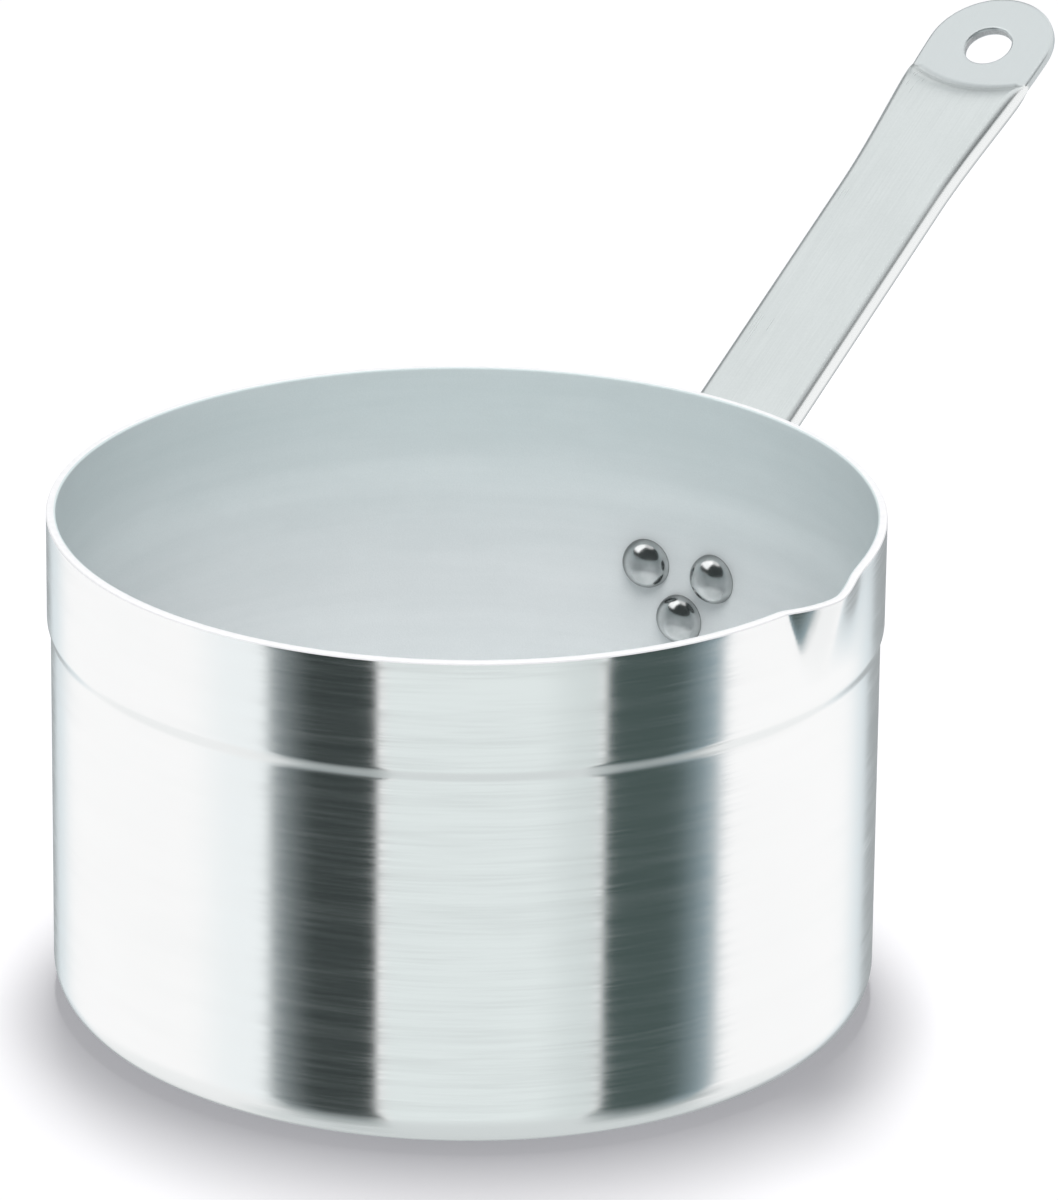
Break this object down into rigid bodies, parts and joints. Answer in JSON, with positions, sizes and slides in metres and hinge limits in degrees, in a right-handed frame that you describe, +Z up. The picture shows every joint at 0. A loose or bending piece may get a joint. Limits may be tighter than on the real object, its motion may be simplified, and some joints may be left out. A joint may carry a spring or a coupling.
{
  "type": "saucepan",
  "caption": "Straight-sided aluminium saucepan with a pouring lip, a stepped band under the rim and one long riveted handle with a hanging hole.",
  "frame": {"origin": "centre of the underside, on the surface that the pot stands on", "axes": "+Z up along the pot's axis, +X along the handle, -Y towards the pouring lip"},
  "size_m": [0.3574, 0.2045, 0.1839],
  "materials": {
    "pot": "brushed round the wall outside, matte inside",
    "handle": "satin",
    "rivets": "polished"
  },
  "bodies": {
    "root": {"pot_body": "pot", "handle": "handle", "rivet_upper_left": "rivets", "rivet_upper_right": "rivets", "rivet_lower": "rivets"}
  },
  "joints": []
}
